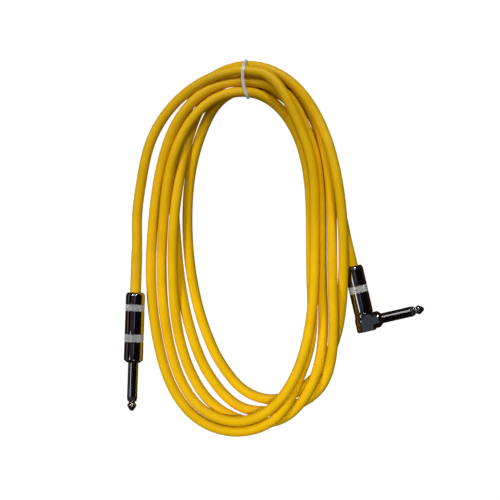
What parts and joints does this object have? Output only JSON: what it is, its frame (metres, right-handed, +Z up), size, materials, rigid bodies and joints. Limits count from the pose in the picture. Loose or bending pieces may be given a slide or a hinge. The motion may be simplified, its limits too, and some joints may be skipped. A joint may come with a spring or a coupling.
{
  "type": "instrument cable",
  "caption": "Coiled instrument cable held by a tie, with a straight plug on one end and a right-angle plug on the other, each with a barrel that unscrews.",
  "frame": {"origin": "on the surface the cable lies on, at the middle of the box round the plugs and the tie", "axes": "+X right, +Y from the hank's open end towards the tie, +Z up out of the surface"},
  "size_m": [0.1853, 0.2317, 0.0203],
  "materials": {
    "jacket": "satin",
    "tie": "gloss",
    "bright_metal": "polished",
    "black_nickel": "polished",
    "black_insulator": "satin",
    "relief": "satin",
    "clear_liner": "gloss",
    "lug_metal": "satin",
    "copper": "satin",
    "core_insulation": "satin",
    "solder": "satin"
  },
  "bodies": {
    "cable": {"cable_hank": "jacket", "straight_lead": "jacket", "angle_lead": "jacket", "tie": "tie", "straight_sleeve": "bright_metal", "straight_tip": "bright_metal", "straight_tip_ring": "black_insulator", "straight_bush": "black_insulator", "straight_washer": "black_insulator", "straight_tip_lug": "lug_metal", "straight_ground_lug": "lug_metal", "straight_relief": "relief", "straight_core": "core_insulation", "straight_shield": "copper", "straight_tip_solder": "solder", "straight_ground_solder": "solder", "angle_body": "bright_metal", "angle_sleeve": "bright_metal", "angle_tip": "bright_metal", "angle_tip_ring": "black_insulator", "angle_bush": "black_insulator", "angle_block": "black_insulator", "angle_tip_lug": "lug_metal", "angle_ground_lug": "lug_metal", "angle_core": "core_insulation", "angle_shield": "copper", "angle_tip_solder": "solder", "angle_ground_solder": "solder"},
    "straight_liner": {"straight_liner": "clear_liner"},
    "straight_barrel": {"straight_barrel": "black_nickel"},
    "angle_liner": {"angle_liner": "clear_liner"},
    "angle_barrel": {"angle_barrel": "black_nickel"}
  },
  "joints": [
    {"name": "straight_barrel_travel", "type": "slide", "parent": "cable", "child": "straight_liner", "axis": [0.0332, 0.9995, 0], "range_m": [0, 0.00375]},
    {"name": "straight_barrel_turn", "type": "hinge", "parent": "straight_liner", "child": "straight_barrel", "pos_m": [-0.0854, -0.0352, 0.006], "axis": [0.0332, 0.9995, 0], "range_deg": [0, 1800]},
    {"name": "angle_barrel_travel", "type": "slide", "parent": "cable", "child": "angle_liner", "axis": [-0.225, 0.9744, 0], "range_m": [0, 0.00375]},
    {"name": "angle_barrel_turn", "type": "hinge", "parent": "angle_liner", "child": "angle_barrel", "pos_m": [0.0487, -0.0189, 0.006], "axis": [-0.225, 0.9744, 0], "range_deg": [0, 1800]}
  ],
  "couplings": [
    {"joint": "straight_barrel_travel", "follows": "straight_barrel_turn", "m_per_rad": 0.00011937},
    {"joint": "angle_barrel_travel", "follows": "angle_barrel_turn", "m_per_rad": 0.00011937}
  ]
}
